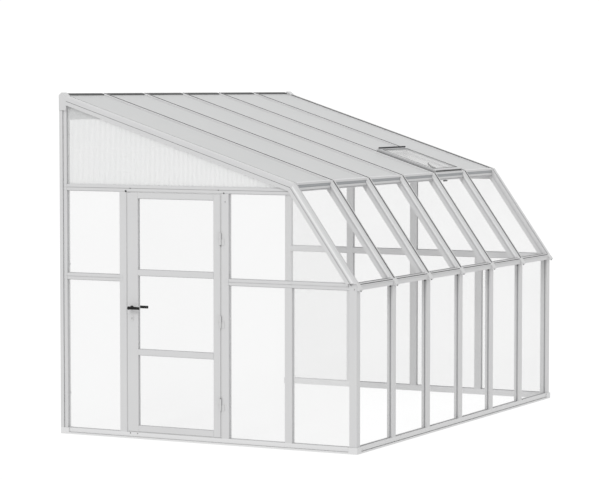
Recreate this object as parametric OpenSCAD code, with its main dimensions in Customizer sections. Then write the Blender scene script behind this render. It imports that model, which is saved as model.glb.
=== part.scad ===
// Lean-to greenhouse with a white plastic frame, clear walls and a twin-wall roof.
// X runs along the house wall, the glazed front faces -Y and the house wall is on +Y.
// The origin is at ground level, in the middle of the footprint.

/* [Building] */
// Distance between the centres of two front posts
bay_w = 624; // [580:4:660]
// Number of bays along the front
front_bays = 6; // [5:1:8]
// Distance from the house wall to the front lip of the base
depth = 2540; // [2480:10:2640]
// Height of the roof surface at the house wall
ridge_z = 2620; // [2560:10:2720]
// Height of the break between the roof and the sloped glazing
break_z = 1966; // [1940:2:1990]
// Distance from the house wall to the break
break_run = 2017; // [1960:1:2060]
// Height of the underside of the eave beam and the mid rails
eave_z = 1196; // [1120:2:1240]

/* [Frame] */
// Width of a post seen from outside
post_w = 60; // [52:1:68]
// Depth of the posts and rails across the wall
post_d = 47; // [44:1:54]
// Height of the mid rails and transoms
rail_h = 48; // [42:1:54]
// Height of the base rails
base_h = 48; // [44:1:60]
// Height of the lip along the foot of the base
lip_h = 13; // [10:1:18]
// How far the base lip and the end rafters stand out from the posts
lip_out = 8; // [5:1:12]
// Length of a base corner block
block_len = 72; // [68:1:90]
// Distance from the outer face of a wall to the middle of its panes
pane_inset = 20; // [17:1:24]

/* [Rafters] */
// Width of a rafter
rafter_w = 70; // [64:1:80]
// Depth of a rafter across the roof
rafter_d = 68; // [62:1:74]
// Radius of a rafter's two upper edges
shoulder_r = 10; // [4:1:14]
// Width of the seam along the top of a rafter
seam_w = 8; // [6:1:12]
// Distance from a rafter's top to the middle of the sloped panes
slope_pane_drop = 34; // [30:1:38]
// Distance from a rafter's top to the middle of the roof panels
roof_panel_drop = 11; // [9:1:14]

/* [Glazing] */
// Thickness of the clear panes
pane_t = 3; // [2:0.5:5]
// Gap on each side of a clear pane in its slot
pane_gap = 0.5; // [0.3:0.1:1.5]
// Depth of the glazing slots
slot_depth = 12; // [9:1:14]
// Thickness of the twin-wall panels
panel_t = 6; // [4:1:8]
// Gap between the edge of a pane and the bottom of its slot
edge_gap = 0.3; // [0.2:0.1:0.6]
// Gap on each side of a twin-wall panel in its slot
panel_gap = 0.3; // [0.2:0.1:0.6]

/* [Door] */
// Distance between the centres of the two door posts
door_bay = 884; // [860:2:920]
// Gap between the door and the latch post, the transom and the base
door_gap = 7; // [6:1:9]
// Gap between the door and its hinge post
hinge_gap = 12; // [10:1:14]
// Thickness of the door
door_t = 34; // [30:1:36]
// Width of the door stile beside the latch
latch_stile_w = 94; // [84:1:100]
// Width of the door stile beside the hinges
stile_w = 58; // [50:1:64]
// Height of one door rail
door_rail_h = 45; // [38:1:52]
// Height of the underside of the lower middle rail of the door
door_low_rail_z = 638; // [560:2:700]
// Height of the underside of the upper middle rail of the door
door_high_rail_z = 1243; // [1160:2:1300]
// Height of the handle above the ground
handle_z = 998; // [960:2:1040]
// Distance from the edge of the door to the handle spindle
handle_inset = 42; // [30:1:52]
// Length of the lever arm
lever_len = 96; // [86:1:110]
// Diameter of the hinge knuckles
knuckle_d = 14; // [12:1:14]
// Height of one hinge
hinge_h = 90; // [76:2:110]
// Height of the middle of the lowest hinge
hinge_low_z = 300; // [250:10:340]
// Height of the middle of the highest hinge
hinge_high_z = 1540; // [1500:10:1600]

/* [Vent] */
// Bay of the roof vent, counted from the door end
vent_bay = 5; // [2:1:5]
// Length of the vent down the roof
vent_len = 560; // [500:10:620]
// Height of the vent frame above the tops of the rafters
vent_curb = 4; // [3:1:10]
// Thickness of the vent sash
sash_t = 14; // [12:1:22]
// Width of the bars of the vent frame and sash
sash_w = 34; // [28:1:40]

/* [Fixings] */
// Diameter of the holes for the wall bolts
wall_bolt_d = 9; // [7:1:12]
// Height of the wall ledger
ledger_h = 118; // [90:2:140]
// Depth of the wall ledger
ledger_d = 40; // [34:1:48]

/* [Hidden] */

white = [0.88, 0.88, 0.88];
clear = [0.93, 0.95, 0.96, 0.35];
milky = [0.82, 0.83, 0.83, 0.85];
dark = [0.3, 0.3, 0.31];
black = [0.05, 0.05, 0.05];

// Grooves that show as lines along the profiles, and the rounding of their edges
line_w = 3;
line_d = 4;
edge_r = 3;

// Slots for the clear panes and for the twin-wall panels
pane_slot = pane_t + 2 * pane_gap;
panel_slot = panel_t + 2 * panel_gap;

// The seam along a rafter. On an end rafter it lies beside a step down to the panes,
// and a line runs along the outer side
seam_d = 8;
end_seam_x = 16;
end_step_h = 5;
end_line_drop = 38;

// Main faces
half_len = front_bays * bay_w / 2;
end_face = half_len + post_w / 2 - lip_out;
front_face = -depth + lip_out;

// The eave beam and the lines of the roof and the slope, taken at the tops of the rafters
beam_h = 47;
beam_chamfer = 14;
beam_d = 75;
beam_line_h = 6;
beam_line_d = 8;
beam_top = eave_z + beam_h;
beam_in = -depth + beam_d;
slope_foot_z = beam_top - beam_chamfer;
roof_pitch = atan((ridge_z - break_z) / break_run);
slope_pitch = atan((break_z - slope_foot_z) / (depth - break_run));
mitre_lean = (roof_pitch + slope_pitch) / 2;
half_bend = (slope_pitch - roof_pitch) / 2;
mitre_gap = 0.3;

// Posts stand at these places
post_run = depth - lip_out - post_w;
side_bay = (post_run - door_bay) / 3;
far_bay = post_run / 4;
front_x = [for (i = [0 : front_bays]) (i - front_bays / 2) * bay_w];
wall_post_y = -post_w / 2;
latch_y = wall_post_y - side_bay;
hinge_y = latch_y - door_bay;
mullion_y = hinge_y - side_bay;
corner_y = front_face + post_w / 2;
far_post_y = [for (i = [1 : 3]) wall_post_y - i * far_bay];

// Heights of the rails and of what stands on them
seat = slot_depth - edge_gap;
mid_top = eave_z + rail_h;
transom_drop = 87;
transom_z = break_z - transom_drop;
transom_top = transom_z + rail_h;
connector_h = 130;
connector_d = post_w + 4;
connector_z = ridge_z - connector_h;
wall_bolt_z = [0.12 * ridge_z, 0.5 * ridge_z, 0.88 * ridge_z];
wall_bolt_inset = post_d - 12;

// Roof panels, measured across the roof from the tops of the rafters
panel_top_drop = roof_panel_drop - panel_t / 2;
panel_low_drop = roof_panel_drop + panel_t / 2;
panel_end_y = mitre(panel_low_drop)[0] + 1;
seal_w = 25;

// The break purlins
purlin_lip = 18;
purlin_h = 63;
purlin_d = 60;
purlin_low = break_z - purlin_h;
purlin_in = -break_run + purlin_d;
purlin_edge_h = 16;
purlin_recess_h = 21;
purlin_recess_z = break_z - purlin_edge_h;
purlin_recess_d = 18;

// Wall connectors, ledger and nose caps
cap_rise = 14;
cap_back_d = 25;
cap_back_h = 20;
wall_strip_w = (post_w - line_w) / 2;
ledger_upstand = 12;
nose_out = 18;
nose_r = 8;

// Door leaf and its hardware
stop_gap = 5;
stop_lap = 5;
door_latch_y = latch_y - post_w / 2 - door_gap;
door_hinge_y = hinge_y + post_w / 2 + hinge_gap;
door_rail_y = door_latch_y - latch_stile_w;
door_rail_len = door_rail_y - door_hinge_y - stile_w;
door_z = base_h + door_gap;
door_top = transom_z - door_gap;
door_rail_zs = [door_z, door_low_rail_z, door_high_rail_z, door_top - door_rail_h];
pivot_x = -end_face - knuckle_d / 2 - 1;
pivot_y = door_hinge_y - hinge_gap / 2;
pin_d = 8;
pin_play = 0.05;
leaf_t = 3;
leaf_reach = 30;
leaf_gap = 0.4;
hinge_zs = [hinge_low_z, (hinge_low_z + hinge_high_z) / 2, hinge_high_z];
handle_y = door_latch_y - handle_inset;
neck_d = 14;
neck_len = 44;
lever_t = 12;
lever_h = 13;
lever_out = neck_len + lever_t;
rose_d = 30;
rose_t = 8;
lock_drop = 80;
lock_w = 24;
lock_h = 46;
lock_t = 3;

// Roof vent, measured down the roof
vent_mid_x = (vent_bay - 0.5 - front_bays / 2) * bay_w;
vent_top = break_run / cos(roof_pitch) - vent_len;
vent_top_y = (edge_gap - vent_top) * cos(roof_pitch) + panel_low_drop * sin(roof_pitch);
vent_d = vent_len - purlin_lip / cos(roof_pitch);
vent_side = (bay_w - rafter_w) / 2 - edge_gap;
curb_w = 26;
sash_side = vent_side - 1;
sash_lap = 6;
sash_low = vent_curb + edge_gap;
sash_high = vent_curb + sash_t;
sash_mid = (sash_low + sash_high) / 2;
arm_r = 176;
arm_w = 9;
arm_h = 8;
arm_low = -6;
arm_foot = 160;

// The part is moved so that its origin is in the middle of its own box
shift_x = (lever_out - (half_len + rafter_w / 2 - end_face)) / 2;
shift_y = (depth + nose_out) / 2;

function roof_z(y, drop) = ridge_z + y * tan(roof_pitch) - drop / cos(roof_pitch);
function slope_z(y, drop) = slope_foot_z + (y + depth) * tan(slope_pitch) - drop / cos(slope_pitch);
function slope_y(z, drop) = -depth + (z - slope_foot_z + drop / cos(slope_pitch)) / tan(slope_pitch);
function mitre(drop) = [
  -break_run + drop / cos(half_bend) * sin(mitre_lean),
  break_z - drop / cos(half_bend) * cos(mitre_lean)
];

// A (Y, Z) outline that runs down the roof between two distances from the house wall
function roof_band(from_y, to_y, top_drop, low_drop) = [
  [from_y, roof_z(from_y, top_drop)], [to_y, roof_z(to_y, top_drop)],
  [to_y, roof_z(to_y, low_drop)], [from_y, roof_z(from_y, low_drop)]
];

// The (Y, Z) outline of all that lies under the rafters and inside the eave beam
function under_roof(drop, z0) = [
  [0, z0], [0, roof_z(0, drop)], mitre(drop), [beam_in, slope_z(beam_in, drop)],
  [beam_in, eave_z], [-depth, eave_z], [-depth, z0]
];

module centred() translate([shift_x, shift_y, 0]) children();

// Turns a (Y, Z) outline into a solid between two X values
module along_x(x0, x1) translate([x0, 0, 0]) rotate([90, 0, 90]) linear_extrude(x1 - x0) children();

// Repeats what is drawn for the door end at the far end
module far_end() mirror([1, 0, 0]) children();

module rounded_rect(w, d, r) {
  translate([-w / 2 + r, 0]) square([w - 2 * r, d]);
  translate([-w / 2, r]) square([w, d - 2 * r]);
  for (x = [-w / 2 + r, w / 2 - r], y = [r, d - r])
    translate([x, y]) circle(r, $fn = 32);
}

// A post from above: its outer face is on the X axis, and its slots hold the panes
module post_section(near_slot = true, far_slot = true) {
  difference() {
    rounded_rect(post_w, post_d, edge_r);
    if (near_slot) translate([-post_w / 2 - 1, pane_inset - pane_slot / 2])
      square([slot_depth + 1, pane_slot]);
    if (far_slot) translate([post_w / 2 - slot_depth, pane_inset - pane_slot / 2])
      square([slot_depth + 1, pane_slot]);
  }
}

// A post in the door end: the near side faces the house wall
module gable_post(y, z0, z1, near_slot = true, far_slot = true) {
  translate([-end_face, y, z0]) rotate([0, 0, -90]) linear_extrude(z1 - z0)
    post_section(near_slot, far_slot);
}

// A gable rail from its end: X goes into the building and Y is up
module rail_section(top_slot) {
  difference() {
    translate([post_d / 2, 0]) rounded_rect(post_d, rail_h, edge_r);
    translate([pane_inset - pane_slot / 2, -1]) square([pane_slot, slot_depth + 1]);
    translate([pane_inset - top_slot / 2, rail_h - slot_depth]) square([top_slot, slot_depth + 1]);
    translate([-1, rail_h / 2 - line_w / 2]) square([line_d + 1, line_w]);
  }
}

module gable_rail(from_y, to_y, z, top_slot = pane_slot) {
  translate([-end_face, from_y, z]) rotate([90, 0, 0]) linear_extrude(from_y - to_y)
    rail_section(top_slot);
}

// Keeps what lies under the end rafters
module trimmed_to_roof() {
  intersection() {
    children();
    along_x(-end_face - 1, -end_face + post_d + 1) polygon(under_roof(rafter_d, 0));
  }
}

// A base rail from its end: X goes in from the outer edge of the lip and Y is up
module base_section() polygon([
  [0, 0], [lip_out + post_d, 0], [lip_out + post_d, base_h], [lip_out, base_h],
  [lip_out, lip_h + line_w], [lip_out + line_d, lip_h + line_w], [lip_out + line_d, lip_h], [0, lip_h]
]);

// The slot for the panes in the top of a gable base rail and of the blocks at its ends
module base_slot(from_y, to_y)
  translate([-end_face + pane_inset - pane_slot / 2, to_y - slot_depth, base_h - slot_depth])
    cube([pane_slot, from_y - to_y + 2 * slot_depth, slot_depth + 1]);

// A rafter from its end: its top is on the X axis. An end rafter has a slot on its inner side only
module rafter_section(slot_drop, slot_t, at_end) {
  difference() {
    union() {
      translate([-rafter_w / 2, -rafter_d]) square([rafter_w, rafter_d - shoulder_r]);
      translate([-rafter_w / 2 + shoulder_r, -rafter_d]) square([rafter_w - 2 * shoulder_r, rafter_d]);
      for (side = [-1, 1])
        translate([side * (rafter_w / 2 - shoulder_r), -shoulder_r]) circle(shoulder_r, $fn = 32);
    }
    for (side = at_end ? [1] : [-1, 1])
      translate([side * (rafter_w / 2 - slot_depth / 2 + 0.5), -slot_drop])
        square([slot_depth + 1, slot_t], center = true);
    seam_x = at_end ? end_seam_x : 0;
    translate([seam_x - seam_w / 2, -seam_d]) square([seam_w, seam_d + 1]);
    if (at_end) translate([seam_x, -end_step_h]) square([rafter_w, end_step_h + 1]);
    if (at_end) translate([-rafter_w / 2, -end_line_drop]) square([2 * line_d, line_w], center = true);
    if (at_end) translate([pane_inset + half_len - end_face - slot_t / 2, -rafter_d - 1])
      square([slot_t, slot_depth + 1]);
  }
}

// A straight rafter that falls at an angle from a point on its top
module rafter_run(x, y, z, fall, length) {
  translate([x, y, z]) rotate([90 + fall, 0, 0]) linear_extrude(length) children();
}

module roof_rafter(x, end_y, at_end = false) {
  up_roof = mitre_gap * [1, tan(roof_pitch)];
  intersection() {
    rafter_run(x, rafter_w, roof_z(rafter_w, 0), roof_pitch, break_run + 3 * rafter_w)
      rafter_section(roof_panel_drop, panel_slot, at_end);
    along_x(x - rafter_w, x + rafter_w) polygon([
      [end_y, roof_z(end_y, 0)], [-break_run, break_z] + up_roof,
      mitre(rafter_d) + up_roof, [end_y, roof_z(end_y, rafter_d)]
    ]);
  }
}

module slope_rafter(x, at_end = false) {
  start_y = -break_run + rafter_w;
  length = (depth - break_run) / cos(slope_pitch) + 2 * rafter_w;
  intersection() {
    rafter_run(x, start_y, slope_z(start_y, 0), slope_pitch, length)
      rafter_section(slope_pane_drop, pane_slot, at_end);
    along_x(x - rafter_w, x + rafter_w) polygon([
      [-break_run, break_z], [slope_y(beam_top, 0), beam_top], [beam_in, beam_top],
      [beam_in, slope_z(beam_in, rafter_d)], mitre(rafter_d)
    ]);
  }
}

module base_front() color(white) centred() difference() {
  translate([0, -depth, 0]) rotate([90, 0, 90]) translate([0, 0, block_len - end_face - lip_out])
    linear_extrude(2 * (end_face + lip_out - block_len)) base_section();
  translate([-end_face, front_face + pane_inset - pane_slot / 2, base_h - slot_depth])
    cube([2 * end_face, pane_slot, slot_depth + 1]);
}

module gable_base() translate([-end_face - lip_out, -block_len, 0]) rotate([90, 0, 0])
  linear_extrude(depth - 2 * block_len) base_section();

// No slot runs under the door
module base_door_end() color(white) centred() difference() {
  gable_base();
  base_slot(-post_w, latch_y + post_w / 2);
  base_slot(hinge_y - post_w / 2, -depth);
}

module base_far_end() color(white) centred() far_end() difference() {
  gable_base();
  base_slot(0, -depth);
}

// Plain blocks close the corners of the base, with the ends of the slots in them
module base_corners() color(white) centred() for (side = [0, 1]) mirror([side, 0, 0])
  difference() {
    for (y = [-depth, -block_len])
      translate([-end_face - lip_out, y, 0]) cube([block_len, block_len, base_h]);
    base_slot(-post_w, corner_y + post_w / 2);
    translate([-end_face + post_w - slot_depth, front_face + pane_inset - pane_slot / 2, base_h])
      translate([0, 0, -slot_depth]) cube([block_len, pane_slot, slot_depth + 1]);
  }

// A strip stands proud along the edge of the wall post, with a line beside it
module wall_post() difference() {
  union() {
    gable_post(wall_post_y, base_h, connector_z, false, true);
    translate([-end_face - lip_out, -wall_strip_w, base_h])
      cube([lip_out + edge_r, wall_strip_w, connector_z - base_h]);
  }
  translate([-end_face - 1, wall_post_y - line_w / 2, base_h - 1])
    cube([line_d + 1, line_w, connector_z - base_h + 2]);
  gable_sheet(panel_slot) translate([-post_w - 1, transom_top - slot_depth])
    square([slot_depth + 1, connector_z - transom_top + slot_depth + 1]);
  for (z = wall_bolt_z) translate([-end_face + wall_bolt_inset, 1, z]) rotate([90, 0, 0])
    cylinder(d = wall_bolt_d, h = post_w + 2, $fn = 32);
}

module wall_post_door_end() color(white) centred() wall_post();

module wall_post_far_end() color(white) centred() far_end() wall_post();

module corner_post() translate([-end_face, front_face, base_h]) linear_extrude(eave_z - base_h)
  difference() {
    translate([post_w / 2, 0]) rounded_rect(post_w, post_w, edge_r);
    translate([pane_inset - pane_slot / 2, post_w - slot_depth]) square([pane_slot, slot_depth + 1]);
    translate([post_w - slot_depth, pane_inset - pane_slot / 2]) square([slot_depth + 1, pane_slot]);
  }

module corner_posts() color(white) centred() {
  corner_post();
  far_end() corner_post();
}

module front_posts() color(white) centred() for (i = [1 : front_bays - 1])
  translate([front_x[i], front_face, base_h]) linear_extrude(eave_z - base_h) post_section();

module latch_post() color(white) centred() gable_post(latch_y, base_h, transom_z, true, false);

// A lip on the latch post stops the door from behind
module door_stop() color(white) centred()
  translate([-end_face + door_t + stop_gap, door_latch_y - stop_lap, base_h])
    cube([post_d - door_t - stop_gap, door_gap + stop_lap, transom_z - base_h]);

module hinge_post() color(white) centred() gable_post(hinge_y, base_h, transom_z, false, true);

module lower_mullions() color(white) centred() {
  gable_post(mullion_y, base_h, eave_z);
  far_end() gable_post(far_post_y[2], base_h, eave_z);
}

module far_end_posts() color(white) centred() far_end() for (i = [0, 1])
  gable_post(far_post_y[i], base_h, transom_z);

module mid_rails_door_end() color(white) centred() trimmed_to_roof() {
  gable_rail(-post_w, latch_y + post_w / 2, eave_z);
  gable_rail(hinge_y - post_w / 2, beam_in, eave_z);
}

module mid_rails_far_end() color(white) centred() far_end() trimmed_to_roof() {
  gable_rail(-post_w, far_post_y[0] + post_w / 2, eave_z);
  gable_rail(far_post_y[0] - post_w / 2, far_post_y[1] + post_w / 2, eave_z);
  gable_rail(far_post_y[1] - post_w / 2, beam_in, eave_z);
}

// A transom holds clear panes below it and the gable panel above it
module transom() trimmed_to_roof() gable_rail(-post_w, -break_run - post_w, transom_z, panel_slot);

module transoms() color(white) centred() {
  transom();
  far_end() transom();
}

// The eave beam carries the feet of the rafters and holds the panes above and below it
module eave_beam() color(white) centred() along_x(-end_face, end_face) difference() {
  polygon([
    [-depth, eave_z], [-depth, slope_foot_z], [slope_y(beam_top, 0), beam_top],
    [beam_in, beam_top], [beam_in, eave_z]
  ]);
  translate([-depth - 1, slope_foot_z - beam_line_h]) square([beam_line_d + 1, beam_line_h]);
  translate([front_face + pane_inset - pane_slot / 2, eave_z - 1]) square([pane_slot, slot_depth + 1]);
  translate([slope_y(beam_top, slope_pane_drop), beam_top]) rotate(slope_pitch)
    square([2 * slot_depth, pane_slot], center = true);
}

// Short purlins between the rafters close the break, with a lip over the roof panel
module break_purlins() color(white) centred() for (i = [0 : front_bays - 1])
  along_x(front_x[i] + rafter_w / 2, front_x[i + 1] - rafter_w / 2) difference() {
    lip_y = -break_run + purlin_lip;
    polygon([
      [-break_run, purlin_low], [-break_run, break_z], [lip_y, roof_z(lip_y, 0)],
      [lip_y, roof_z(lip_y, panel_top_drop)], [purlin_in, roof_z(purlin_in, panel_top_drop)],
      [purlin_in, purlin_low]
    ]);
    polygon(roof_band(0, panel_end_y - panel_gap, panel_top_drop - panel_gap, panel_low_drop + panel_gap));
    translate([-break_run - 1, purlin_recess_z - purlin_recess_h])
      square([purlin_recess_d + 1, purlin_recess_h]);
    translate([-break_run, slope_z(-break_run, slope_pane_drop)]) rotate(slope_pitch)
      square([2 * slot_depth, pane_slot], center = true);
  }

// The ledger is bolted to the house wall, and the upper ends of the rafters rest on it
module wall_ledger() color(white) centred() {
  ledger_z = roof_z(-ledger_d, rafter_d) - ledger_h;
  difference() {
    along_x(-half_len + rafter_w / 2, half_len - rafter_w / 2) difference() {
      polygon([
        [0, ledger_z], [-ledger_d, ledger_z],
        [-ledger_d, roof_z(-ledger_d, rafter_d)], [0, roof_z(0, rafter_d)]
      ]);
      for (z = [ledger_z + 0.3 * ledger_h, ledger_z + 0.7 * ledger_h])
        translate([-ledger_d - 1, z]) square([line_d + 1, line_w]);
    }
    for (i = [0 : front_bays - 1])
      translate([(front_x[i] + front_x[i + 1]) / 2, 1, ledger_z + ledger_h / 2]) rotate([90, 0, 0])
        cylinder(d = wall_bolt_d, h = ledger_d + 2, $fn = 32);
  }
  for (i = [0 : front_bays - 1])
    along_x(front_x[i] + rafter_w / 2, front_x[i + 1] - rafter_w / 2)
      polygon(roof_band(0, -ledger_upstand, panel_low_drop + panel_gap, rafter_d + ledger_upstand));
}

// A connector caps each wall post and takes the upper end of the end rafter
module wall_connector() difference() {
  along_x(-half_len - rafter_w / 2, -half_len + rafter_w / 2) polygon([
    [0, connector_z], [-connector_d, connector_z], [-connector_d, roof_z(-connector_d, 0)],
    [-cap_back_d, roof_z(-cap_back_d, -cap_rise)], [0, roof_z(-cap_back_d, -cap_rise) - cap_back_h]
  ]);
  along_x(-half_len + rafter_w / 2 - slot_depth, -half_len + rafter_w) polygon(
    roof_band(1, -connector_d - 1, panel_top_drop - panel_gap, panel_low_drop + panel_gap));
  gable_sheet(panel_slot) polygon([
    [-post_w + slot_depth, connector_z - 1], [-connector_d - 1, connector_z - 1],
    [-connector_d - 1, roof_z(-connector_d - 1, rafter_d - slot_depth)],
    [-post_w + slot_depth, roof_z(-post_w + slot_depth, rafter_d - slot_depth)]
  ]);
}

module wall_connectors() color(white) centred() {
  wall_connector();
  far_end() wall_connector();
}

// A soft strip on the roof panels closes the joint with the house wall
module top_seal() color(dark) centred() for (i = [0 : front_bays - 1])
  along_x(front_x[i] + rafter_w / 2, front_x[i + 1] - rafter_w / 2)
    polygon(roof_band(0, -seal_w, 0, panel_top_drop));

module roof_rafters() color(white) centred() for (i = [1 : front_bays - 1]) roof_rafter(front_x[i], 0);

module slope_rafters() color(white) centred() for (i = [1 : front_bays - 1]) slope_rafter(front_x[i]);

module end_rafter() {
  roof_rafter(-half_len, -connector_d, true);
  slope_rafter(-half_len, true);
}

module end_rafters_door_end() color(white) centred() end_rafter();

module end_rafters_far_end() color(white) centred() far_end() end_rafter();

// A rounded nose hooks over the eave beam at the foot of each rafter
module nose_caps() color(white) centred() for (x = front_x)
  along_x(x - post_w / 2, x + post_w / 2) {
    drop = (nose_r + (nose_out - nose_r) * sin(slope_pitch)) / cos(slope_pitch);
    tip = [-depth - nose_out + nose_r, slope_foot_z - drop];
    polygon([
      [-depth, slope_foot_z], tip + nose_r * [-sin(slope_pitch), cos(slope_pitch)], tip,
      tip + [0, -nose_r], [-depth, slope_foot_z - drop - nose_r]
    ]);
    translate(tip) circle(nose_r, $fn = 32);
  }

module roof_panel(i, low_y)
  along_x(front_x[i] + rafter_w / 2 - seat, front_x[i + 1] - rafter_w / 2 + seat)
    polygon(roof_band(-edge_gap, low_y, panel_top_drop, panel_low_drop));

// The panel of the vent bay stops at the upper edge of the vent
module roof_panels() color(milky) centred() for (i = [0 : front_bays - 1])
  roof_panel(i, i == vent_bay - 1 ? vent_top_y : panel_end_y);

// Thin sheets that lie in the slots of a gable wall
module gable_sheet(thickness) {
  middle = -end_face + pane_inset;
  along_x(middle - thickness / 2, middle + thickness / 2) children();
}

// A sheet that reaches into the slots around an opening
module gable_pane(from_y, to_y, z0, z1, thickness) gable_sheet(thickness) intersection() {
  translate([to_y - seat, z0 - seat]) square([from_y - to_y + 2 * seat, z1 - z0 + 2 * seat]);
  polygon(under_roof(rafter_d - seat, 0));
}

module panes_door_end() color(clear) centred() {
  gable_pane(-post_w, latch_y + post_w / 2, base_h, eave_z, pane_t);
  gable_pane(-post_w, latch_y + post_w / 2, mid_top, transom_z, pane_t);
  gable_pane(hinge_y - post_w / 2, mullion_y + post_w / 2, base_h, eave_z, pane_t);
  gable_pane(mullion_y - post_w / 2, front_face + post_w, base_h, eave_z, pane_t);
  gable_pane(hinge_y - post_w / 2, beam_in + slot_depth, mid_top, transom_z, pane_t);
}

module panes_far_end() color(clear) centred() far_end() {
  gable_pane(-post_w, far_post_y[0] + post_w / 2, base_h, eave_z, pane_t);
  gable_pane(-post_w, far_post_y[0] + post_w / 2, mid_top, transom_z, pane_t);
  gable_pane(far_post_y[0] - post_w / 2, far_post_y[1] + post_w / 2, base_h, eave_z, pane_t);
  gable_pane(far_post_y[0] - post_w / 2, far_post_y[1] + post_w / 2, mid_top, transom_z, pane_t);
  gable_pane(far_post_y[1] - post_w / 2, far_post_y[2] + post_w / 2, base_h, eave_z, pane_t);
  gable_pane(far_post_y[2] - post_w / 2, front_face + post_w, base_h, eave_z, pane_t);
  gable_pane(far_post_y[1] - post_w / 2, beam_in + slot_depth, mid_top, transom_z, pane_t);
}

// The panel's tip stays in the roof part of the end rafter
module gable_panel()
  gable_pane(-post_w, mitre(rafter_d)[0] + slot_depth, transom_top, ridge_z, panel_t);

module gable_panel_door_end() color(milky) centred() gable_panel();

module gable_panel_far_end() color(milky) centred() far_end() gable_panel();

module front_panes() color(clear) centred() for (i = [0 : front_bays - 1]) {
  pane_x0 = i == 0 ? -end_face + post_w - seat : front_x[i] + post_w / 2 - seat;
  pane_x1 = i == front_bays - 1 ? end_face - post_w + seat : front_x[i + 1] - post_w / 2 + seat;
  translate([pane_x0, front_face + pane_inset - pane_t / 2, base_h - seat])
    cube([pane_x1 - pane_x0, pane_t, eave_z - base_h + 2 * seat]);
}

// The sloped panes stand in the eave beam and reach up into the break purlins
module slope_panes() color(clear) centred() for (i = [0 : front_bays - 1])
  along_x(front_x[i] + rafter_w / 2 - seat, front_x[i + 1] - rafter_w / 2 + seat) {
    foot_y = slope_y(beam_top, slope_pane_drop);
    pane_len = (-break_run - foot_y) / cos(slope_pitch) + 2 * seat;
    translate([foot_y, beam_top]) rotate(slope_pitch)
      translate([-seat, -pane_t / 2]) square([pane_len, pane_t]);
  }

// Draws in the plane of the roof: X along the house wall, Y up the roof from the house wall line
module on_roof() translate([0, 0, ridge_z]) rotate([roof_pitch, 0, 0]) children();

// A board of the size of the vent, grown on its sides and ends, between two heights above the roof
module vent_board(side, grow, low, high) on_roof()
  translate([vent_mid_x - side, -vent_top - vent_d - grow, low])
    cube([2 * side, vent_d + 2 * grow, high - low]);

// The vent frame lies in the slots of two rafters in place of a roof panel
module vent_frame() color(white) centred() difference() {
  union() {
    vent_board(vent_side, 0, -panel_low_drop, vent_curb);
    vent_board(vent_side + slot_depth, 0, -panel_low_drop, -panel_top_drop);
  }
  vent_board(vent_side - curb_w, -curb_w, -panel_low_drop - 1, vent_curb + 1);
}

module vent_sash() color(white) centred() difference() {
  vent_board(sash_side, sash_lap, sash_low, sash_high);
  vent_board(sash_side - sash_w, sash_lap - sash_w, sash_low - 1, sash_high + 1);
  vent_board(sash_side - sash_w + slot_depth, sash_lap - sash_w + slot_depth,
    sash_mid - panel_t / 2 - panel_gap, sash_mid + panel_t / 2 + panel_gap);
}

module vent_pane() color(milky) centred()
  vent_board(sash_side - sash_w + seat, sash_lap - sash_w + seat, sash_mid - panel_t / 2, sash_mid + panel_t / 2);

// A curved stay is fixed to the lower bar of the vent frame
module vent_arm() color(dark) centred() on_roof()
  translate([vent_mid_x, -vent_top - vent_d + curb_w, arm_low]) {
    translate([-2 * arm_foot / 3, 0, 0]) cube([arm_foot, arm_w, arm_h]);
    translate([arm_r - 2 * arm_foot / 3, arm_w / 2, 0]) rotate(106) rotate_extrude(angle = 74, $fn = 96)
      translate([arm_r - arm_w, 0]) square([arm_w, arm_h / 2]);
  }

// A door stile, with the slot for the panes on the side that faces the middle of the door
module door_stile(y, width, slot_y) difference() {
  translate([-end_face, y, door_z]) linear_extrude(door_top - door_z)
    translate([door_t / 2, 0]) rounded_rect(door_t, width, edge_r);
  translate([-end_face + door_t / 2 - pane_slot / 2, slot_y, door_z - 1])
    cube([pane_slot, slot_depth + 1, door_top - door_z + 2]);
}

module door_stiles() color(white) centred() difference() {
  union() {
    door_stile(door_rail_y, latch_stile_w, door_rail_y - 1);
    door_stile(door_hinge_y, stile_w, door_hinge_y + stile_w - slot_depth);
  }
  translate([-end_face - 1, handle_y, handle_z]) rotate([0, 90, 0])
    cylinder(d = neck_d + 2, h = door_t + 2, $fn = 48);
}

// Four rails between the stiles
module door_rails() color(white) centred() for (i = [0 : 3]) difference() {
  translate([-end_face, door_rail_y, door_rail_zs[i]]) rotate([90, 0, 0])
    linear_extrude(door_rail_len)
      translate([door_t / 2, 0]) rounded_rect(door_t, door_rail_h, edge_r);
  if (i > 0) rail_slot(door_rail_zs[i] - 1);
  if (i < 3) rail_slot(door_rail_zs[i] + door_rail_h - slot_depth);
}

module rail_slot(z) translate([-end_face + door_t / 2 - pane_slot / 2, door_hinge_y, z])
  cube([pane_slot, door_latch_y - door_hinge_y, slot_depth + 1]);

module door_panes() color(clear) centred() for (i = [0 : 2]) {
  z0 = door_rail_zs[i] + door_rail_h - seat;
  translate([-end_face + (door_t - pane_t) / 2, door_hinge_y + stile_w - seat, z0])
    cube([pane_t, door_rail_len + 2 * seat, door_rail_zs[i + 1] + seat - z0]);
}

// Draws a plate of one thickness on each face of the door, around the line of the handle
module on_door_faces(thickness, z) for (side = [0, 1])
  translate([-end_face + side * door_t, handle_y, z]) mirror([side, 0, 0])
    translate([-thickness, 0, 0]) rotate([90, 0, 90]) linear_extrude(thickness) children();

// A disc on each face of the door carries the neck of the handle
module door_plates() color(black) centred() on_door_faces(rose_t, handle_z) difference() {
  circle(d = rose_d, $fn = 48);
  circle(d = neck_d + 2 * pin_play, $fn = 48);
}

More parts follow.
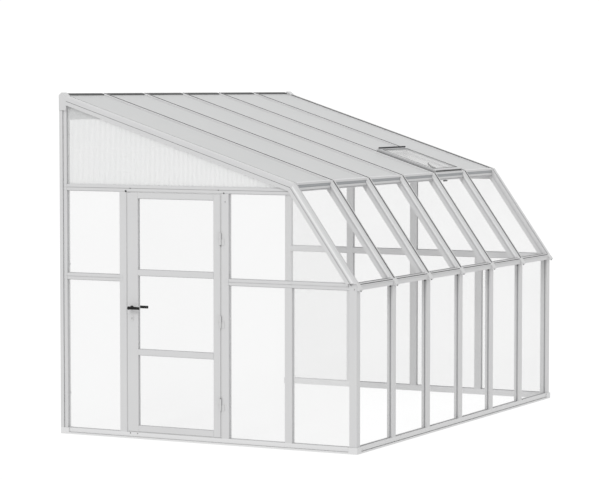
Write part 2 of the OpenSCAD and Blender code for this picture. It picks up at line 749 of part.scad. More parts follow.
// An oval lock plate below the handle on each face
module lock_plates() color(white) centred() on_door_faces(lock_t, handle_z - lock_drop) {
  square([lock_w, lock_h - lock_w], center = true);
  for (end = [-1, 1]) translate([0, end * (lock_h - lock_w) / 2]) circle(d = lock_w, $fn = 48);
}

// One half of a hinge: a plate on the face of the wall and a knuckle in front of it
module hinge_half(z, dir) {
  half_h = (hinge_h - leaf_gap) / 2;
  translate([pivot_x, pivot_y, z]) difference() {
    union() {
      cylinder(d = knuckle_d, h = half_h, $fn = 48);
      translate([-end_face - leaf_t - pivot_x, dir > 0 ? 0 : -leaf_reach, 0])
        cube([leaf_t, leaf_reach, half_h]);
    }
    if (dir > 0) translate([0, 0, -1]) cylinder(d = pin_d + 2 * pin_play, h = half_h + 2, $fn = 48);
  }
}

// The lower half of each hinge is on the hinge post and carries the pin
module frame_hinge_leaves() color(white) centred() for (z = hinge_zs) {
  hinge_half(z - hinge_h / 2, -1);
  translate([pivot_x, pivot_y, z - hinge_h / 2]) cylinder(d = pin_d, h = hinge_h, $fn = 48);
}

module door_hinge_leaves() color(white) centred() for (z = hinge_zs) hinge_half(z + leaf_gap / 2, 1);

// The levers on both faces and the neck between them turn together
module door_handle() color(black) centred() {
  translate([-end_face - neck_len, handle_y, handle_z]) rotate([0, 90, 0])
    cylinder(d = neck_d, h = door_t + 2 * neck_len, $fn = 48);
  for (x = [-end_face - lever_out, -end_face + door_t + neck_len])
    translate([x, handle_y, handle_z]) rotate([90, 0, 90]) linear_extrude(lever_t) {
      circle(d = neck_d + 4, $fn = 48);
      translate([-lever_len + lever_h, -lever_h / 2]) square([lever_len - lever_h, lever_h]);
      translate([-lever_len + lever_h, 0]) circle(d = lever_h, $fn = 48);
    }
}

base_front();
base_door_end();
base_far_end();
base_corners();
wall_post_door_end();
wall_post_far_end();
corner_posts();
front_posts();
latch_post();
door_stop();
hinge_post();
lower_mullions();
far_end_posts();
mid_rails_door_end();
mid_rails_far_end();
transoms();
eave_beam();
break_purlins();
wall_ledger();
wall_connectors();
top_seal();
roof_rafters();
slope_rafters();
end_rafters_door_end();
end_rafters_far_end();
nose_caps();
roof_panels();
gable_panel_door_end();
gable_panel_far_end();
vent_frame();
vent_sash();
vent_pane();
vent_arm();
slope_panes();
front_panes();
panes_door_end();
panes_far_end();
door_stiles();
door_rails();
door_panes();
door_plates();
lock_plates();
door_hinge_leaves();
frame_hinge_leaves();
door_handle();
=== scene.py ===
import bpy
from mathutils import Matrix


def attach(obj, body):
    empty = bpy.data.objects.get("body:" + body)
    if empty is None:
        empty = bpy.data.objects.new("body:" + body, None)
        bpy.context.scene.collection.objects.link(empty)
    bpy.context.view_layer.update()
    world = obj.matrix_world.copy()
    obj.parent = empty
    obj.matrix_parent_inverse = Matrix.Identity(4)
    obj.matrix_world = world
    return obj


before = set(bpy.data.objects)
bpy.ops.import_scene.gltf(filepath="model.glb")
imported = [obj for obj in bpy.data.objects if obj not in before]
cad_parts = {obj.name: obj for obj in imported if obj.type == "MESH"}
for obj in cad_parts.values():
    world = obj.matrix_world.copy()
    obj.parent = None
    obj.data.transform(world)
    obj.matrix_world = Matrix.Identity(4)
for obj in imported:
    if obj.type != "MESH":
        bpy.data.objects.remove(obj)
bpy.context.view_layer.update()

import bpy
import math
from mathutils import Matrix, Vector


# The studio: a wide white floor that glows a little, as a light table does, an even white
# sky, and one soft lamp high on the left that picks out the rounded edges.
def let_go():
    for part in bpy.context.selected_objects:
        part.select_set(False)


floor_radius = 90
floor_drop = 0.002
floor_tone = 0.16
floor_glow = 0.86
let_go()
bpy.ops.mesh.primitive_circle_add(
    vertices=96, radius=floor_radius, fill_type="NGON", location=(0, 0, -floor_drop))
floor = bpy.context.object
floor.name = "studio_floor"
paper = bpy.data.materials.new("white_paper")
paper.use_nodes = True
paper_shader = paper.node_tree.nodes["Principled BSDF"]
paper_shader.inputs["Base Color"].default_value = (floor_tone, floor_tone, floor_tone, 1)
paper_shader.inputs["Roughness"].default_value = 1.0
paper_shader.inputs["Specular IOR Level"].default_value = 0.0
paper_shader.inputs["Emission Color"].default_value = (1, 1, 1, 1)
paper_shader.inputs["Emission Strength"].default_value = floor_glow
floor.data.materials.append(paper)

sky_strength = 1.05
sky = bpy.data.worlds.new("studio_sky")
bpy.context.scene.world = sky
sky.use_nodes = True
sky_light = sky.node_tree.nodes["Background"]
sky_light.inputs["Color"].default_value = (1.0, 1.0, 1.0, 1)
sky_light.inputs["Strength"].default_value = sky_strength

lamp_side = Vector((-0.8, -0.1, 0.55))
lamp_data = bpy.data.lights.new("edge_lamp", "SUN")
lamp_data.energy = 1.0
lamp_data.angle = math.radians(14)
lamp = bpy.data.objects.new("edge_lamp", lamp_data)
lamp.rotation_euler = lamp_side.to_track_quat("Z", "Y").to_euler()
bpy.context.collection.objects.link(lamp)

# The camera stands about twenty metres away, a little above the eaves, and looks at the
# door end from the front left.
camera_place = (-18.4065, -9.262, 2.680)
camera_turn = math.radians(27.129)
camera_dip = math.radians(3.477)
look = Vector((
    math.cos(camera_turn) * math.cos(camera_dip),
    math.sin(camera_turn) * math.cos(camera_dip),
    -math.sin(camera_dip)))
camera_data = bpy.data.cameras.new("camera")
camera_data.sensor_width = 36
camera_data.lens = 152.61
camera_data.clip_end = 200
camera = bpy.data.objects.new("camera", camera_data)
camera.location = camera_place
camera.rotation_euler = look.to_track_quat("-Z", "Y").to_euler()
bpy.context.collection.objects.link(camera)
bpy.context.scene.camera = camera
bpy.context.scene.view_settings.view_transform = "Standard"


# The base: white plastic rails lie on the ground and meet in moulded corner blocks. A strip
# lies in the line above the lip: dark along the front, where it paints the shade of that
# groove, and pale at the ends.
def speckle_group():
    group = bpy.data.node_groups.new("plastic_speckle", "ShaderNodeTree")
    number = "NodeSocketFloat"
    scale = group.interface.new_socket("Scale", in_out="INPUT", socket_type=number)
    scale.default_value = 40
    group.interface.new_socket("Mask", in_out="OUTPUT", socket_type=number)
    group.interface.new_socket("Height", in_out="OUTPUT", socket_type=number)
    nodes, links = group.nodes, group.links
    entry, exit_node = nodes.new("NodeGroupInput"), nodes.new("NodeGroupOutput")
    place_node = nodes.new("ShaderNodeTexCoord")
    slow, fast = nodes.new("ShaderNodeTexNoise"), nodes.new("ShaderNodeTexNoise")
    slow.inputs["Scale"].default_value = 2.5
    slow.inputs["Detail"].default_value = 4
    fast.inputs["Detail"].default_value = 3
    links.new(place_node.outputs["Object"], slow.inputs["Vector"])
    links.new(place_node.outputs["Object"], fast.inputs["Vector"])
    links.new(entry.outputs["Scale"], fast.inputs["Scale"])
    links.new(slow.outputs["Fac"], exit_node.inputs["Mask"])
    links.new(fast.outputs["Fac"], exit_node.inputs["Height"])
    return group


speckle = speckle_group()


def speckled(name, light, dark, grain):
    material = bpy.data.materials.new(name)
    material.use_nodes = True
    nodes, links = material.node_tree.nodes, material.node_tree.links
    shader = nodes["Principled BSDF"]
    marks = nodes.new("ShaderNodeGroup")
    marks.node_tree = speckle
    marks.inputs["Scale"].default_value = grain
    tint = nodes.new("ShaderNodeMix")
    tint.data_type = "RGBA"
    tint.inputs["A"].default_value = (*dark, 1)
    tint.inputs["B"].default_value = (*light, 1)
    links.new(marks.outputs["Mask"], tint.inputs["Factor"])
    links.new(tint.outputs["Result"], shader.inputs["Base Color"])
    return material, shader, marks


def vary(material, marks, socket, low, high):
    nodes, links = material.node_tree.nodes, material.node_tree.links
    spread = nodes.new("ShaderNodeMapRange")
    spread.inputs["To Min"].default_value = low
    spread.inputs["To Max"].default_value = high
    links.new(marks.outputs["Mask"], spread.inputs["Value"])
    links.new(spread.outputs["Result"], socket)


def solid_finish(name, light, dark, roughness, grain=300, dent=0.06, shine=0.5):
    material, shader, marks = speckled(name, light, dark, grain)
    nodes, links = material.node_tree.nodes, material.node_tree.links
    shader.inputs["IOR"].default_value = 1.5
    shader.inputs["Specular IOR Level"].default_value = shine
    vary(material, marks, shader.inputs["Roughness"], roughness - 0.06, roughness + 0.08)
    bump = nodes.new("ShaderNodeBump")
    bump.inputs["Strength"].default_value = dent
    bump.inputs["Distance"].default_value = 0.001
    links.new(marks.outputs["Height"], bump.inputs["Height"])
    links.new(bump.outputs["Normal"], shader.inputs["Normal"])
    return material


def dress(names, material):
    for name in names:
        node = bpy.data.objects[name]
        node.data.materials.clear()
        node.data.materials.append(material)


# Sizes are in millimetres: x from the middle of the house side, y out from the wall, which
# is at nought, so what stands before it is negative, and z up from the ground.
middle_x = 0.0215
wall_y = 1.279


def place(x, y, z):
    return Vector((x / 1000 + middle_x, y / 1000 + wall_y, z / 1000))


def block(name, centre, size, tilt=0.0):
    let_go()
    bpy.ops.mesh.primitive_cube_add(size=1, location=place(*centre), rotation=(tilt, 0, 0))
    piece = bpy.context.object
    piece.name = name
    piece.scale = [side / 1000 for side in size]
    bpy.ops.object.transform_apply(location=True, rotation=True, scale=True)
    return piece


def ease(piece, radius, segments=1):
    bpy.context.view_layer.objects.active = piece
    bpy.ops.object.mode_set(mode="EDIT")
    bpy.ops.mesh.select_all(action="SELECT")
    bpy.ops.mesh.bevel(offset=radius / 1000, segments=segments, affect="EDGES")
    bpy.ops.object.mode_set(mode="OBJECT")


def fit(piece, material, body="frame"):
    piece.data.materials.clear()
    piece.data.materials.append(material)
    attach(piece, body)


frame_white = solid_finish("frame_white", (0.50, 0.50, 0.50), (0.475, 0.475, 0.48), 0.3)
base_white = solid_finish("base_white", (0.57, 0.57, 0.57), (0.54, 0.54, 0.545), 0.35)
# Dark rubber; where it fills a groove or lies along an edge it also stands for painted shade.
dark_rubber_and_shade = solid_finish(
    "dark_rubber_and_shade", (0.075, 0.075, 0.078), (0.05, 0.05, 0.052), 0.8, shine=0.1)
rubber_pale = solid_finish("rubber_pale", (0.44, 0.44, 0.445), (0.38, 0.38, 0.385), 0.8)
dress(["base_front", "base_door_end", "base_far_end", "base_corners"], base_white)
base_line_z = 14.5
strip_depth = 3
strip_width = 2.6
strip_edge = 0.5
# The front strip is dark as painted shade in the groove; the end strips are pale.
for name, centre, along_x, along_y, rubber in (
    ("base_strip_door_end", (-1891.6, -1270, base_line_z), strip_depth, 2392, rubber_pale),
    ("base_strip_far_end", (1891.6, -1270, base_line_z), strip_depth, 2392, rubber_pale),
    ("base_strip_front", (0, -2529.6, base_line_z), 3654, strip_depth, dark_rubber_and_shade),
):
    strip = block(name, centre, (along_x, along_y, strip_width))
    ease(strip, strip_edge)
    fit(strip, rubber)

# The posts: white plastic profiles stand on the base, screwed to it through their slots. The
# wall posts are bolted to the house; a dark plug closes the slot at the head of a front post.
dress([
    "wall_post_door_end", "wall_post_far_end", "corner_posts", "front_posts", "latch_post",
    "door_stop", "hinge_post", "lower_mullions", "far_end_posts",
], frame_white)


def peg(name, centre, radius, length, axis, sides=20):
    let_go()
    turn = {"x": (0, math.pi / 2, 0), "y": (math.pi / 2, 0, 0), "z": (0, 0, 0)}[axis]
    bpy.ops.mesh.primitive_cylinder_add(
        vertices=sides, radius=radius / 1000, depth=length / 1000,
        location=place(*centre), rotation=turn)
    piece = bpy.context.object
    piece.name = name
    bpy.ops.object.transform_apply(location=True, rotation=True, scale=True)
    ease(piece, min(radius, length) * 0.2)
    return piece


def copy_to(piece, name, move):
    twin = piece.copy()
    twin.data = piece.data.copy()
    twin.name = name
    twin.data.transform(Matrix.Translation(Vector(move) / 1000))
    bpy.context.collection.objects.link(twin)
    return twin


bays = 6
bay = 624


def post_x(n):
    return (n - bays / 2) * bay


def one_per_bay(first, name, count):
    twins = [copy_to(first, f"{name}_{n + 1}", (bay * n, 0, 0)) for n in range(1, count)]
    return [first] + twins


plug_black = solid_finish("plug_black", (0.02, 0.02, 0.02), (0.012, 0.012, 0.012), 0.5)
plug_radius = 6.5
plug_length = 8
post_face = 31
first_plug = peg(
    "post_plug_1", (post_x(1) - post_face, -2512, 1186), plug_radius, plug_length, "x")
for plug in one_per_bay(first_plug, "post_plug", bays - 1):
    fit(plug, plug_black)


def join_to(keep, other):
    let_go()
    other.select_set(True)
    keep.select_set(True)
    bpy.context.view_layer.objects.active = keep
    bpy.ops.object.join()


def hex_bolt(name, x, y, z):
    head = peg(name, (x, y - 4.5, z), 7.5, 5.5, "y", 6)
    washer = peg(name + "_washer", (x, y - 1, z), 10, 1.8, "y", 24)
    join_to(head, washer)
    return head


bolt_zinc = solid_finish("bolt_zinc", (0.52, 0.53, 0.54), (0.40, 0.41, 0.42), 0.35)
bolt_zinc.node_tree.nodes["Principled BSDF"].inputs["Metallic"].default_value = 0.9
wall_post_face = -60
for side, end in ((-1, "door_end"), (1, "far_end")):
    for n, z in enumerate((314.4, 1310, 2305.6)):
        bolt = hex_bolt(f"wall_post_bolt_{end}_{n + 1}", side * 1859, wall_post_face, z)
        fit(bolt, bolt_zinc)

# The rails and transoms: white profiles between the posts. Each end laps over half a post
# with a thin two-part tongue. A grey strip in the line along each transom paints the shade of
# that groove.
dress(["mid_rails_door_end", "mid_rails_far_end", "transoms"], frame_white)
rail_z = 1196
transom_z = 1879
tongue_size = (1.6, 27, 19)
tongue_low = 12
tongue_high = 36


def rail_tongue(name, x, y, z):
    low = block(name, (x, y, z + tongue_low), tongue_size)
    high = block(name + "_high", (x, y, z + tongue_high), tongue_size)
    join_to(low, high)
    ease(low, 0.5)
    fit(low, frame_white)


for end, x, rails in (
    ("door_end", -1894.8, (
        (-46, rail_z), (-46, transom_z), (-543, rail_z), (-1459, rail_z), (-1987, rail_z))),
    ("far_end", 1894.8, ((-46, rail_z), (-46, transom_z), (-648, rail_z), (-1266, rail_z))),
):
    for n, (y, z) in enumerate(rails):
        rail_tongue(f"rail_tongue_{end}_{n + 1}", x, y, z)

strip_grey = solid_finish("strip_grey", (0.23, 0.23, 0.23), (0.19, 0.19, 0.19), 0.8)
transom_line_z = 1903
# The grey of these strips is painted shade in the transom groove.
for side, end in ((-1, "door_end"), (1, "far_end")):
    strip = block(
        f"transom_strip_{end}", (side * 1892, -1020, transom_line_z),
        (strip_depth, 1910, strip_width))
    ease(strip, strip_edge)
    fit(strip, strip_grey)

# The eave beam: a white profile with a sloping upper front. A white strip lies in the line
# under that slope, and each rafter ends over it in a rounded nose with a drain plug below.
dress(["eave_beam", "nose_caps"], frame_white)
eave_strip = block("eave_strip", (0, -2536.5, 1226), (3786, 6, 5.2))
ease(eave_strip, 0.8)
fit(eave_strip, frame_white)
drip_grey = solid_finish("drip_grey", (0.06, 0.06, 0.06), (0.04, 0.04, 0.04), 0.5)
drip_aside = 14
first_drip = peg("nose_drip_1", (post_x(0) + drip_aside, -2549, 1190.5), 5, 7, "z")
for drip in one_per_bay(first_drip, "nose_drip", bays + 1):
    fit(drip, drip_grey)


# The ledger and the connectors: the ledger is bolted to the house wall once in each bay, and
# a moulded connector caps each wall post and takes the end rafter.
def bay_x(n):
    return (n + 0.5 - bays / 2) * bay


dress(["wall_ledger", "wall_connectors"], frame_white)
ledger_face = -40
ledger_bolt_z = 2476.5
for n in range(bays):
    bolt = hex_bolt(f"ledger_bolt_{n + 1}", bay_x(n), ledger_face, ledger_bolt_z)
    fit(bolt, bolt_zinc)

# The rafters: white profiles in two lengths that meet in a mitre at the break. A dark rubber
# bead fills the seam along the top of each, its dark also painted shade for the seam groove,
# a flap closes the inner edge of an end rafter, and lips in a lighter white, which paints the
# highlight of the rounded shoulders, hold the sloping panes.
dress(
    ["roof_rafters", "slope_rafters", "end_rafters_door_end", "end_rafters_far_end"],
    frame_white)
ridge_z = 2620
break_y = 2017
break_z = 1966
eave_y = 2540
eave_z = 1229
roof_pitch = math.atan2(ridge_z - break_z, break_y)
slope_pitch = math.atan2(break_z - eave_z, eave_y - break_y)


def on_roof(x, down, height):
    return (x, -down * math.cos(roof_pitch) - height * math.sin(roof_pitch),
            ridge_z - down * math.sin(roof_pitch) + height * math.cos(roof_pitch))


def on_slope(x, down, height):
    return (x, -break_y - down * math.cos(slope_pitch) - height * math.sin(slope_pitch),
            break_z - down * math.sin(slope_pitch) + height * math.cos(slope_pitch))


def batten(name, place_on, pitch, x, low, high, height, width, thick):
    middle = place_on(x, (low + high) / 2, height)
    return block(name, middle, (width, high - low, thick), pitch)


# The dark of each bead also paints the shade in the seam groove.
bead_width = 7.6
bead_sunk = 7
for n in range(bays - 1):
    for name, place_on, pitch, low, high, rise in (
        ("roof_bead", on_roof, roof_pitch, 4, 2118, 3),
        ("slope_bead", on_slope, slope_pitch, 4, 884, 3.8),
    ):
        bead = batten(
            f"{name}_{n + 1}", place_on, pitch, post_x(n + 1), low, high,
            (rise - bead_sunk) / 2, bead_width, rise + bead_sunk)
        ease(bead, 1.2, 2)
        fit(bead, dark_rubber_and_shade)

bead_black = solid_finish(
    "bead_black", (0.035, 0.035, 0.036), (0.02, 0.02, 0.021), 0.8, shine=0.1)
flap_grey = solid_finish("flap_grey", (0.38, 0.38, 0.385), (0.33, 0.33, 0.335), 0.7)
flap_x = 1854
for side, end in ((-1, "door_end"), (1, "far_end")):
    for name, place_on, pitch, low, high, rubber in (
        ("roof_flap", on_roof, roof_pitch, 68, 2112, bead_black),
        ("slope_flap", on_slope, slope_pitch, 8, 880, flap_grey),
    ):
        flap = batten(
            f"{name}_{end}", place_on, pitch, side * flap_x, low, high, -3.9, 6.4, 7.2)
        ease(flap, 1.2, 2)
        fit(flap, rubber)

# Dark strips in the groove low on the outer side of each end rafter paint the shade of that
# groove.
line_x = 1904.4
line_drop = 38
for side, end in ((-1, "door_end"), (1, "far_end")):
    for name, place_on, pitch, low, high in (
        ("roof_line", on_roof, roof_pitch, 70, 2105),
        ("slope_line", on_slope, slope_pitch, 22, 876),
    ):
        line = batten(
            f"{name}_{end}", place_on, pitch, side * line_x, low, high, -line_drop, 5, 4)
        ease(line, 0.8)
        fit(line, dark_rubber_and_shade)

# A lighter white: on the slope lips it paints the highlight of the rounded rafter shoulders;
# it also colours the gable webs.
shoulder_highlight_and_web_white = solid_finish("shoulder_highlight_and_web_white", (0.64, 0.64, 0.64), (0.60, 0.60, 0.605), 0.28)
lip_aside = 36
for n in range(bays + 1):
    for side, hand in ((-1, "near"), (1, "far")):
        if 0 < n < bays or (n, hand) == (0, "near"):
            lip = batten(
                f"slope_lip_{n + 1}_{hand}", on_slope, slope_pitch,
                post_x(n) + side * lip_aside, 17, 867, -18, 4, 13)
            ease(lip, 1.8, 2)
            fit(lip, shoulder_highlight_and_web_white)

between_rafters = 553
first_wedge = block(
    "eave_wedge_1", on_slope(bay_x(0), 893, 0), (between_rafters, 6, 3), slope_pitch)
ease(first_wedge, 1)
for wedge in one_per_bay(first_wedge, "eave_wedge", bays):
    fit(wedge, dark_rubber_and_shade)

# The break purlins: short white profiles between the rafters. A grey strip fills the recess
# in the front of each; its grey is painted shade, the shadow in that recess under the panel
# edge.
dress(["break_purlins"], frame_white)
# The grey paints the shadow in the purlin recess.
recess_shade_grey = solid_finish(
    "recess_shade_grey", (0.36, 0.37, 0.38), (0.30, 0.31, 0.32), 0.8, grain=900, dent=0.5)
first_recess_shade = block(
    "purlin_recess_shade_1", (bay_x(0), -2007, 1939.5), (between_rafters, 9, 20.4))
ease(first_recess_shade, 1)
for brush in one_per_bay(first_recess_shade, "purlin_recess_shade", bays):
    fit(brush, recess_shade_grey)


# The roof panels: 6 mm twin-wall sheets that slide into the rafters. Thin webs join the two
# skins and run down the roof, and a soft strip covers the joint at the wall.
def twin_wall(name, tone, cover, painted_glow=0.0):
    shade = (tone * 0.96, tone * 0.98, tone * 0.98)
    material, shader, marks = speckled(name, (tone, tone, tone), shade, 60)
    shader.inputs["Roughness"].default_value = 0.35
    vary(material, marks, shader.inputs["Alpha"], cover * 0.98, cover * 1.02)
    # The emission is a painted glow for light shining through the sheet; the sheet is no
    # lamp.
    shader.inputs["Emission Color"].default_value = (1, 1, 0.98, 1)
    shader.inputs["Emission Strength"].default_value = painted_glow
    return material


def repeat(piece, step, count):
    rows = piece.modifiers.new("rows", "ARRAY")
    rows.use_relative_offset = False
    rows.use_constant_offset = True
    rows.constant_offset_displace = [side / 1000 for side in step]
    rows.count = count
    bpy.ops.object.modifier_apply(modifier="rows")


roof_sheet = twin_wall("roof_sheet", 0.448, 0.93)
dress(["roof_panels"], roof_sheet)
web_white = solid_finish("web_white", (0.42, 0.42, 0.42), (0.38, 0.38, 0.38), 0.4)
web_pitch = 11
web_thick = 0.6
web_depth = 5.2
vent_bay = 4
for n in range(bays):
    length = 1545 if n == vent_bay else 2100
    web = block(
        f"roof_webs_{n + 1}", on_roof(bay_x(n) - 264, 6 + length / 2, -11),
        (web_thick, length, web_depth), roof_pitch)
    repeat(web, (web_pitch, 0, 0), 49)
    fit(web, web_white)
seal_grey = solid_finish("seal_grey", (0.10, 0.10, 0.10), (0.07, 0.07, 0.07), 0.8)
dress(["top_seal"], seal_grey)

# The gable panels: triangles of the same twin-wall sheet, with the webs upright, held in
# the transom, the wall post and the end rafter.
# The gable sheet's small glow is painted light, the light shining through it.
gable_sheet = twin_wall("gable_sheet", 0.53, 0.36, 0.13)
dress(["gable_panel_door_end", "gable_panel_far_end"], gable_sheet)
pane_x = 1874
under_roof = -58


def cut(piece, point, normal):
    bpy.context.view_layer.objects.active = piece
    bpy.ops.object.mode_set(mode="EDIT")
    bpy.ops.mesh.select_all(action="SELECT")
    bpy.ops.mesh.bisect(
        plane_co=place(*point), plane_no=normal, use_fill=True, clear_outer=True)
    bpy.ops.object.mode_set(mode="OBJECT")


for side, end in ((-1, "door_end"), (1, "far_end")):
    web = block(
        f"gable_webs_{end}", (side * pane_x, -56, 2210), (web_depth, web_thick, 590))
    repeat(web, (0, -web_pitch, 0), 171)
    cut(web, on_roof(0, 0, under_roof), (0, -math.sin(roof_pitch), math.cos(roof_pitch)))
    fit(web, shoulder_highlight_and_web_white)

# The roof vent: a white frame lies between two rafters in place of a panel's lower end, with
# a sash and pane in soft lips and dark strips. A curved dark stay lies below the pane, and
# a dark knob hangs under the purlin.
vent_white = solid_finish("vent_white", (0.43, 0.435, 0.435), (0.41, 0.41, 0.415), 0.35)
# The vent pane's strong glow is painted light, the light shining through it.
vent_sheet = twin_wall("vent_sheet", 0.42, 0.12, 0.72)
stay_grey = solid_finish(
    "stay_grey", (0.02, 0.02, 0.022), (0.014, 0.014, 0.015), 0.6, shine=0.1)
dress(["vent_frame"], frame_white)
dress(["vent_sash"], vent_white)
dress(["vent_pane"], vent_sheet)
dress(["vent_arm"], stay_grey)
vent_x = bay_x(vent_bay)
vent_middle = 1830.9


def open_middle(piece, rim):
    biggest = max(face.area for face in piece.data.polygons)
    for face in piece.data.polygons:
        face.select = face.area > 0.98 * biggest
    bpy.context.tool_settings.mesh_select_mode = (False, False, True)
    bpy.ops.object.mode_set(mode="EDIT")
    bpy.ops.mesh.inset(thickness=rim / 1000)
    bpy.ops.mesh.bridge_edge_loops()
    bpy.ops.object.mode_set(mode="OBJECT")


vent_lip = block("vent_lip", on_roof(vent_x, vent_middle, 2.2), (554, 557, 4.4), roof_pitch)
open_middle(vent_lip, 20)
fit(vent_lip, strip_grey)
glazing_lip = block(
    "vent_glazing_lip", on_roof(vent_x, vent_middle, 18.6), (486, 487, 1.6), roof_pitch)
open_middle(glazing_lip, 4)
fit(glazing_lip, dark_rubber_and_shade)
top_strip = block("vent_top_strip", on_roof(vent_x + 4, 1556, 23), (524, 6, 12), roof_pitch)
ease(top_strip, 1.5)
fit(top_strip, dark_rubber_and_shade)
# This dark strip along the sash's lower edge is painted shade, the shadow under that edge.
sash_shade_strip = block("vent_sash_shade_strip", on_roof(vent_x, 2106.5, 7.5), (520, 5, 8), roof_pitch)
ease(sash_shade_strip, 1.2)
fit(sash_shade_strip, dark_rubber_and_shade)

stay_centre = on_roof(1005.3, 2071, 1)
stay_bend = 171.5
sleeve_radius = 6
end_along, end_up = 0.961, 0.276
let_go()
bpy.ops.mesh.primitive_torus_add(
    major_radius=stay_bend / 1000, minor_radius=sleeve_radius / 1000,
    major_segments=96, minor_segments=12,
    location=place(*stay_centre), rotation=(roof_pitch, 0, 0))
sleeve = bpy.context.object
sleeve.name = "stay_sleeve"
bpy.ops.object.transform_apply(location=True, rotation=True, scale=True)
cut(sleeve, stay_centre, (0, -math.cos(roof_pitch), -math.sin(roof_pitch)))
cut(sleeve, stay_centre,
    (end_along, end_up * math.cos(roof_pitch), end_up * math.sin(roof_pitch)))
fit(sleeve, stay_grey)

knob_x, knob_y = 955, -1968
knob = block("stay_knob", (knob_x, knob_y, 1889), (70, 13, 11))
ease(knob, 3, 3)
neck = block("neck", (knob_x, knob_y, 1899), (14, 9, 14))
ease(neck, 1)
join_to(knob, neck)
fit(knob, plug_black)


# The clear panes: 3 mm sheets in the slots of the frame, with a narrow rubber seal all round
# each, which shows as a thin line where the sheet enters the profile. The sheets let light
# through without a shadow.
def clear_sheet(name, veil, tone, painted_glow):
    shade = (tone * 0.97, tone * 0.98, tone * 0.98)
    material, shader, marks = speckled(name, (tone, tone, tone), shade, 60)
    shader.inputs["Roughness"].default_value = 0.08
    shader.inputs["IOR"].default_value = 1.3
    # The emission is a painted glow for light coming through and off the sheet; the sheet is
    # no lamp.
    shader.inputs["Emission Color"].default_value = (1, 1, 1, 1)
    shader.inputs["Emission Strength"].default_value = painted_glow
    vary(material, marks, shader.inputs["Alpha"], veil * 0.9, veil * 1.1)
    return material


gable_clear = clear_sheet("gable_clear_sheet", 0.27, 0.17, 0.575)
front_clear = clear_sheet("front_clear_sheet", 0.04, 0.3, 0.3)
door_clear = clear_sheet("door_clear_sheet", 0.08, 0.15, 0)
dress(["panes_door_end", "panes_far_end"], gable_clear)
dress(["front_panes", "slope_panes"], front_clear)
dress(["door_panes"], door_clear)
for name in (
    "panes_door_end", "panes_far_end", "front_panes", "slope_panes", "door_panes",
    "roof_panels", "gable_panel_door_end", "gable_panel_far_end",
):
    bpy.data.objects[name].visible_shadow = False
    bpy.data.objects[name].visible_diffuse = False

seal_mid = solid_finish("seal_mid", (0.26, 0.26, 0.265), (0.20, 0.20, 0.205), 0.8)
seal_height = 3
seal_depth = 8
front_pane_y = -2512
for n in range(bays):
    shift = {0: 4, bays - 1: -4}.get(n, 0)
    front_seal = block(
        f"front_seal_{n + 1}", (bay_x(n) + shift, front_pane_y, 622),
        (564 - 2 * abs(shift), seal_depth, 1148))
    open_middle(front_seal, seal_height)
    fit(front_seal, seal_mid)
    slope_seal = batten(
        f"slope_seal_{n + 1}", on_slope, slope_pitch, bay_x(n), 50, 862, -34, 554, seal_depth)
    open_middle(slope_seal, seal_height)
    fit(slope_seal, rubber_pale)

sill_top = 48
rail_top = 1244
under_slope = -68
slope_up = (0, -math.sin(slope_pitch), math.cos(slope_pitch))
for name, side, from_y, to_y, low, high, slanted in (
    ("seal_door_end_1", -1, -60, -529.3, sill_top, rail_z, False),
    ("seal_door_end_2", -1, -60, -529.3, rail_top, transom_z, False),
    ("seal_door_end_3", -1, -1473.3, -1942.7, sill_top, rail_z, False),
    ("seal_door_end_4", -1, -2002.7, -2472, sill_top, rail_z, False),
    ("seal_door_end_5", -1, -1473.3, -2460, rail_top, transom_z, True),
    ("seal_far_end_1", 1, -60, -618, sill_top, rail_z, False),
    ("seal_far_end_2", 1, -60, -618, rail_top, transom_z, False),
    ("seal_far_end_3", 1, -678, -1236, sill_top, rail_z, False),
    ("seal_far_end_4", 1, -678, -1236, rail_top, transom_z, False),
    ("seal_far_end_5", 1, -1296, -1854, sill_top, rail_z, False),
    ("seal_far_end_6", 1, -1914, -2472, sill_top, rail_z, False),
    ("seal_far_end_7", 1, -1296, -2460, rail_top, transom_z, True),
):
    for layer, offset, rim, rubber in (
        ("outer", 2, seal_height, rubber_pale),
        ("inner", -2, 4, seal_mid),
    ):
        x = side * (pane_x + offset)
        seal = block(
            f"{name}_{layer}", (x, (from_y + to_y) / 2, (low + high) / 2),
            (seal_depth / 2, from_y - to_y, high - low))
        if slanted:
            cut(seal, on_slope(x, 0, under_slope), slope_up)
        open_middle(seal, rim)
        fit(seal, rubber)

# The door: a white leaf with three clear panes in the same seals. Pale brush strips on the
# frame close the gaps round it, and small screws show at the head and the foot.
dress(["door_stiles", "door_rails"], frame_white)
door_pane_x = -1877
door_pane_y = -1016.8
for n, (low, high) in enumerate(((100, 638), (683, 1243), (1288, 1827))):
    door_seal = block(
        f"door_seal_{n + 1}", (door_pane_x, door_pane_y, (low + high) / 2),
        (seal_depth, 653, high - low))
    open_middle(door_seal, seal_height)
    fit(door_seal, rubber_pale, "door")

brush_pale = solid_finish(
    "brush_pale", (0.47, 0.47, 0.47), (0.42, 0.42, 0.42), 0.8, grain=900, dent=0.4)
gap_x = -1889
gap_depth = 7
for name, y, z, width, height in (
    ("gap_brush_latch", -592.3, 963, 5.6, 1826),
    ("gap_brush_hinges", -1408, 963, 10.4, 1826),
    ("gap_brush_top", -1001, 1876.4, 822, 5),
    ("gap_brush_foot", -1001, 50.6, 822, 5),
):
    brush = block(name, (gap_x, y, z), (gap_depth, width, height))
    ease(brush, 0.8)
    fit(brush, brush_pale)

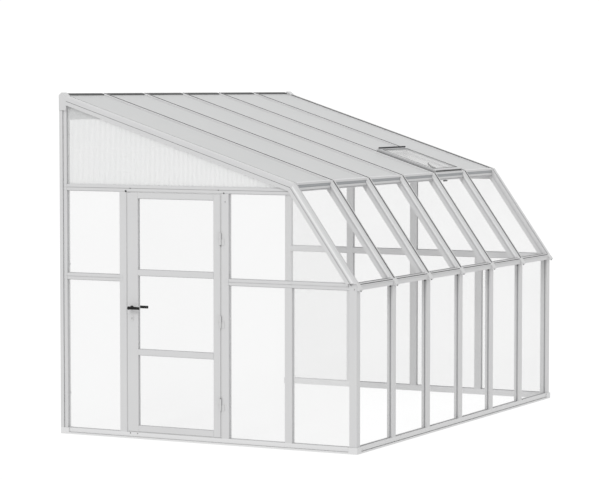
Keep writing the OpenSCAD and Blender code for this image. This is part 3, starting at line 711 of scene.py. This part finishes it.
screw_grey = solid_finish("screw_grey", (0.10, 0.10, 0.10), (0.07, 0.07, 0.07), 0.4)
screw_x = -1895
screw_length = 3
for n, (y, z, radius, finish) in enumerate((
    (-586, 1881, 8, plug_black),
    (-625, 1903, 4.5, screw_grey),
    (-1388, 1903, 4, screw_grey),
    (-1434, 1881, 6, screw_grey),
    (-1445, 1817, 3.5, screw_grey),
    (-620, 40, 4.5, screw_grey),
    (-684, 40, 4, screw_grey),
)):
    screw = peg(f"door_frame_screw_{n + 1}", (screw_x, y, z), radius, screw_length, "x")
    fit(screw, finish)

# The hinges: three lift-off hinges in white metal. A dark plug shows at the end of the pin
# of the upper and the lower one.
hinge_white = solid_finish("hinge_white", (0.50, 0.50, 0.50), (0.47, 0.47, 0.47), 0.3)
dress(["frame_hinge_leaves", "door_hinge_leaves"], hinge_white)
pin_x, pin_y = -1902, -1407.3
for n, z in enumerate((1491, 347)):
    tip = peg(f"hinge_pin_tip_{n + 1}", (pin_x, pin_y, z), 4.5, 7, "z")
    fit(tip, screw_grey)

# The handle: black levers on both faces, on a spindle through two discs. Each lever has a
# thicker grip and hub. The lock plates below are pale metal with a small dark keyhole.
handle_black = solid_finish(
    "handle_black", (0.006, 0.006, 0.006), (0.003, 0.003, 0.003), 0.45, shine=0.2)
dress(["door_handle", "door_plates"], handle_black)
dress(["lock_plates"], hinge_white)
spindle_y = -638.3
spindle_z = 998
lever_thick = 13
for name, x in (("grip_outer", -1943), ("grip_inner", -1811)):
    hub = peg("hub", (x, spindle_y, spindle_z), 13, lever_thick, "x")
    grip = block(name, (x, spindle_y - 50, spindle_z), (lever_thick, 84, 21))
    ease(grip, 4, 3)
    join_to(grip, hub)
    fit(grip, handle_black, "handle")
for n, x in enumerate((-1897, -1857)):
    keyhole = peg(f"keyhole_{n + 1}", (x, spindle_y, 920), 3, 1.2, "x")
    slit = block("slit", (x, spindle_y, 914), (1.2, 2.6, 9))
    join_to(keyhole, slit)
    fit(keyhole, plug_black, "door")
